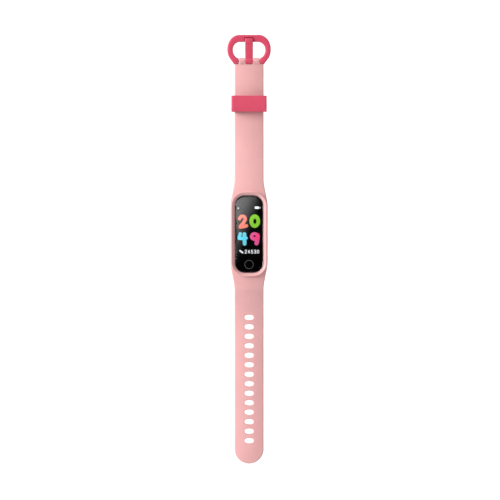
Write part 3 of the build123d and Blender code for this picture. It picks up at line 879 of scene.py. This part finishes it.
def make_picture():
    """What the display shows: the time in four plump colours, small icons and a step count."""
    # The black lit area gets the glow's painted highlight: a faint brightening towards the upper left.
    lit_black = glow("lit_black", linear(4, 5, 5), 0.15, across_mm=18)
    layer("lit_area", rounded_loop(5.6, 12.6, 1.2), LIT_Z, lit_black, (0, SCREEN_Y))
    for digit, strokes, colour in NUMERALS:
        paint = glow(f"lit_{digit}", linear(*colour), 0.9, across_mm=9, centre=(0, SCREEN_Y))
        for i, (width, points) in enumerate(strokes):
            outline = stroke(brush_line(points), width)
            layer(f"numeral_{digit}_{i + 1}", outline, IMAGE_Z, paint)
        if digit in LOOPS:
            outer, inner = LOOPS[digit]
            band_layer(f"numeral_{digit}_loop", oval(*outer), oval(*inner), IMAGE_Z, paint)
    white = glow("lit_white", linear(226, 230, 234), 0.9, shade=0.9)
    for i, (digit, strokes) in enumerate(STEP_COUNT):
        corner = (DIGIT_START[0] + DIGIT_PITCH * i, DIGIT_START[1])
        small_digit(f"step_{digit}", strokes, corner, DIGIT_SIZE, white)
    layer("step_icon", rounded_loop(1.05, 0.36, 0.34), IMAGE_Z, white, (-3.45, -7.85), turn=-36)
    layer("link_dot", rounded_loop(0.22, 0.4, 0.2), IMAGE_Z, white, (-4.84, 11.6))
    layer("battery_icon", rounded_loop(0.98, 0.52, 0.1), IMAGE_Z, white, (3.55, 11.85))
    layer("battery_nub", rounded_loop(0.13, 0.22, 0.08), IMAGE_Z, white, (5.02, 11.85))
    ring_grey = glow("ring_grey", linear(88, 90, 92), 0.7, shade=0.9)
    touch = (0, TOUCH_Y)
    band_layer("touch_ring", oval(touch, 2.0, 2.0), oval(touch, 1.8, 1.8), IMAGE_Z, ring_grey)


# ---- floor, light and camera ---------------------------------------------------------------
FLOOR_DROP = 64          # the floor lies this far below the wrist face, clear of the closed band
CARD_HEIGHT = 0.3        # metres above the wrist face
CARD_SIZE = (0.0168, 0.044)              # metres across and along the band
CARD_SLOPE = (-0.0155, 0.0172, 0.0)      # the card brightens this way, to its upper left


def make_floor():
    """A wide pale floor, low enough for the closed band to clear it."""
    bpy.ops.mesh.primitive_plane_add(size=8, location=(0, 0, -FLOOR_DROP * MM))
    floor = bpy.context.object
    floor.name = "floor"
    floor.data.materials.append(material(
        "lit_table", linear(248, 248, 248), 0.9, mottle=0.0, mottle_mm=50, grain_mm=5, grain=0.0,
        Emission_Color=(1.0, 1.0, 1.0, 1.0), Emission_Strength=0.25))
    floor.visible_diffuse = False


def add_sun(name, towards, strength, angle, colour):
    """A soft distant light that lies towards the given direction, angle degrees wide."""
    light = bpy.data.lights.new(name, "SUN")
    light.energy = strength
    light.angle = math.radians(angle)
    light.color = colour
    lamp = bpy.data.objects.new(name, light)
    bpy.context.scene.collection.objects.link(lamp)
    lamp.rotation_euler = Vector(towards).to_track_quat("Z", "Y").to_euler()


def make_world():
    """Pale surroundings at eye level that darken overhead, so that the glass looks black."""
    world = bpy.data.worlds.new("studio")
    bpy.context.scene.world = world
    world.use_nodes = True
    tree = world.node_tree
    place = add_node(tree, "ShaderNodeTexCoord")
    split = add_node(tree, "ShaderNodeSeparateXYZ")
    tree.links.new(place.outputs["Generated"], split.inputs["Vector"])
    shades = add_node(tree, "ShaderNodeValToRGB")
    # Each (height, brightness), where height runs from 0 straight down to 1 straight up.
    bands = ((0.0, 0.3), (0.46, 0.3), (0.5, 0.8), (0.76, 0.8), (0.97, 0.004))
    for position, _ in bands[1:-1]:
        shades.color_ramp.elements.new(position)
    for element, (position, value) in zip(shades.color_ramp.elements, bands):
        element.position = position
        element.color = (value, value, value, 1)
    height = add_node(tree, "ShaderNodeMapRange", {"From Min": -1.0, "From Max": 1.0})
    tree.links.new(split.outputs["Z"], height.inputs["Value"])
    tree.links.new(height.outputs["Result"], shades.inputs["Fac"])
    tree.links.new(shades.outputs["Color"], tree.nodes["Background"].inputs["Color"])
    tree.nodes["Background"].inputs["Strength"].default_value = 1.0


def make_card():
    """A small graded reflector above the capsule that only shows as a sheen on the glass."""
    bpy.ops.mesh.primitive_plane_add(size=1, location=(0, 0, CARD_HEIGHT))
    card = bpy.context.object
    card.scale = (*CARD_SIZE, 1)
    card.name = "reflector_card"
    sheen = bpy.data.materials.new("reflector_sheen")
    sheen.use_nodes = True
    tree = sheen.node_tree
    tree.nodes.remove(tree.nodes["Principled BSDF"])
    emission = add_node(tree, "ShaderNodeEmission", {"Strength": 5.2})
    place = add_node(tree, "ShaderNodeTexCoord")
    along = add_node(tree, "ShaderNodeVectorMath", operation="DOT_PRODUCT")
    along.inputs[1].default_value = CARD_SLOPE
    tree.links.new(place.outputs["Object"], along.inputs[0])
    share = add_node(tree, "ShaderNodeMapRange", {"From Min": 0.0, "From Max": 0.013})
    tree.links.new(along.outputs["Value"], share.inputs["Value"])
    shades = add_node(tree, "ShaderNodeValToRGB")
    shades.color_ramp.interpolation = "EASE"
    shades.color_ramp.elements[0].color = (0, 0, 0, 1)
    tree.links.new(share.outputs["Result"], shades.inputs["Fac"])
    tree.links.new(shades.outputs["Color"], emission.inputs["Color"])
    tree.links.new(emission.outputs["Emission"], tree.nodes["Material Output"].inputs["Surface"])
    card.data.materials.append(sheen)
    card.visible_camera = False
    card.visible_diffuse = False
    card.visible_shadow = False
    card.visible_transmission = False


def make_light():
    """A low key from the upper left, a weak fill from the other side, and the surroundings."""
    add_sun("key", towards=(-1.1, 0.42, 0.74), strength=3.45, angle=38, colour=(1.0, 0.985, 0.97))
    add_sun("fill", towards=(0.7, -0.9, 0.9), strength=0.45, angle=30, colour=(0.97, 0.98, 1.0))
    make_world()
    make_card()
    bpy.context.scene.view_settings.view_transform = "Standard"


def make_camera():
    """Straight down, far enough away for the outline to keep its true shape."""
    camera = bpy.data.cameras.new("camera")
    camera.lens = 320
    camera.sensor_width = 36
    holder = bpy.data.objects.new("camera", camera)
    bpy.context.scene.collection.objects.link(holder)
    holder.location = (0.43 * MM, -7.11 * MM, 2.0)
    bpy.context.scene.camera = holder


dress_cad_nodes()
make_cradle()
make_strap("tail_strap", TAIL_HINGES, TAIL_FLOOR, -1, HOLE_COUNT)
make_strap("buckle_strap", BUCKLE_HINGES, BUCKLE_FLOOR, 1, 0)
make_buckle_strap_end()
make_keeper()
make_frame()
make_tongue()
make_glass()
make_picture()
make_floor()
make_light()
make_camera()
